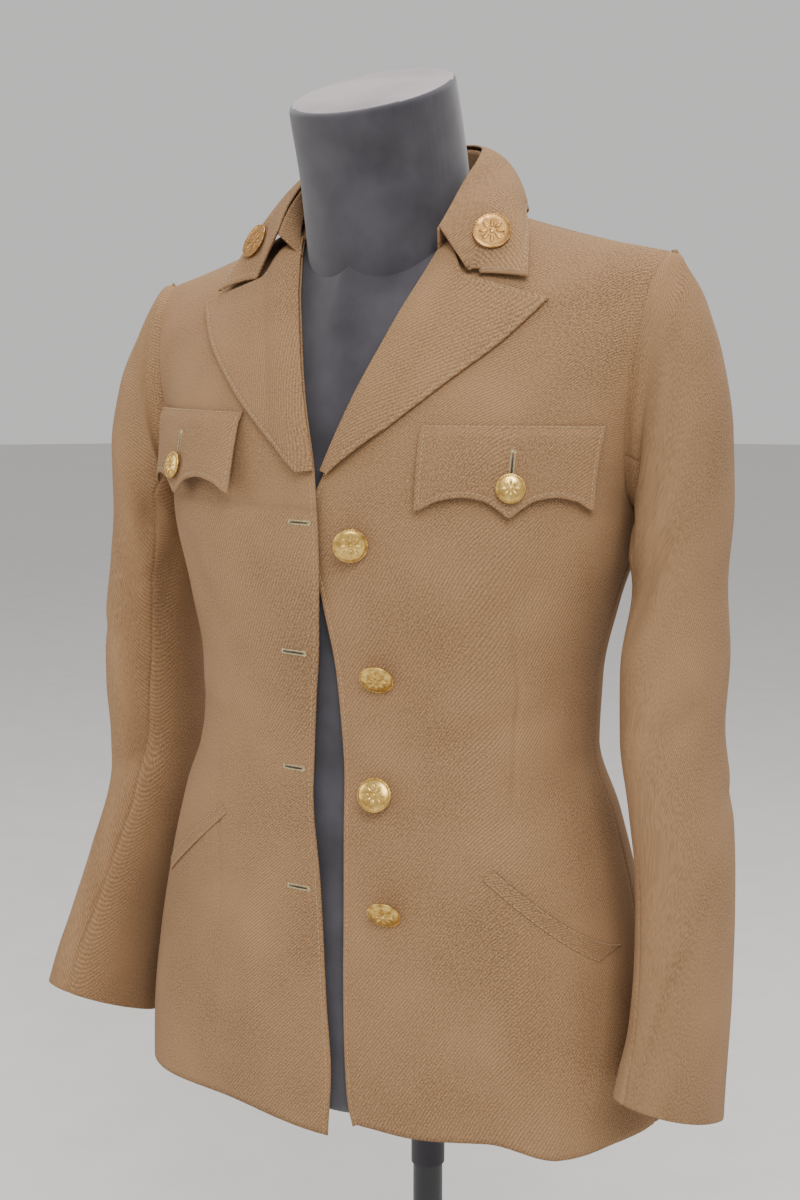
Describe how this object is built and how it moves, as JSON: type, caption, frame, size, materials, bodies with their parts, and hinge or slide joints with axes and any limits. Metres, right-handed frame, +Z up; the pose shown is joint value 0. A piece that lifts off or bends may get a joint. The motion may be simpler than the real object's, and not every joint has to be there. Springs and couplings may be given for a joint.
{
  "type": "military tunic on a limbless dress form",
  "caption": "Brown wool military tunic with notched lapels, scalloped breast flaps and gilt buttons, worn open on a black dress form with a pole and a round base.",
  "frame": {"origin": "centre of the stand base's underside", "axes": "+Z up the pole to the neck, -Y out of the tunic's front, +X towards the wearer's left"},
  "size_m": [0.517, 0.333, 1.0641],
  "materials": {
    "wool": "matt brown wool twill",
    "gilt": "polished gilt",
    "disk_brass": "worn satin",
    "jersey": "matt black jersey",
    "stand_paint": "satin black paint"
  },
  "bodies": {
    "root": {"back_left": "wool", "back_right": "wool", "breast_flap_left": "wool", "breast_flap_right": "wool", "collar": "wool", "collar_disk_left": "disk_brass", "collar_disk_right": "disk_brass", "collar_stand": "wool", "dress_form": "jersey", "flap_button_left": "gilt", "flap_button_right": "gilt", "front_button_1": "gilt", "front_button_2": "gilt", "front_button_3": "gilt", "front_button_4": "gilt", "front_left": "wool", "front_right": "wool", "hip_welt_left": "wool", "hip_welt_right": "wool", "lapel_left": "wool", "lapel_right": "wool", "stand_base": "stand_paint", "stand_pole": "stand_paint", "stand_socket": "jersey", "under_sleeve_left": "wool", "under_sleeve_right": "wool", "upper_sleeve_left": "wool", "upper_sleeve_right": "wool"}
  },
  "joints": []
}
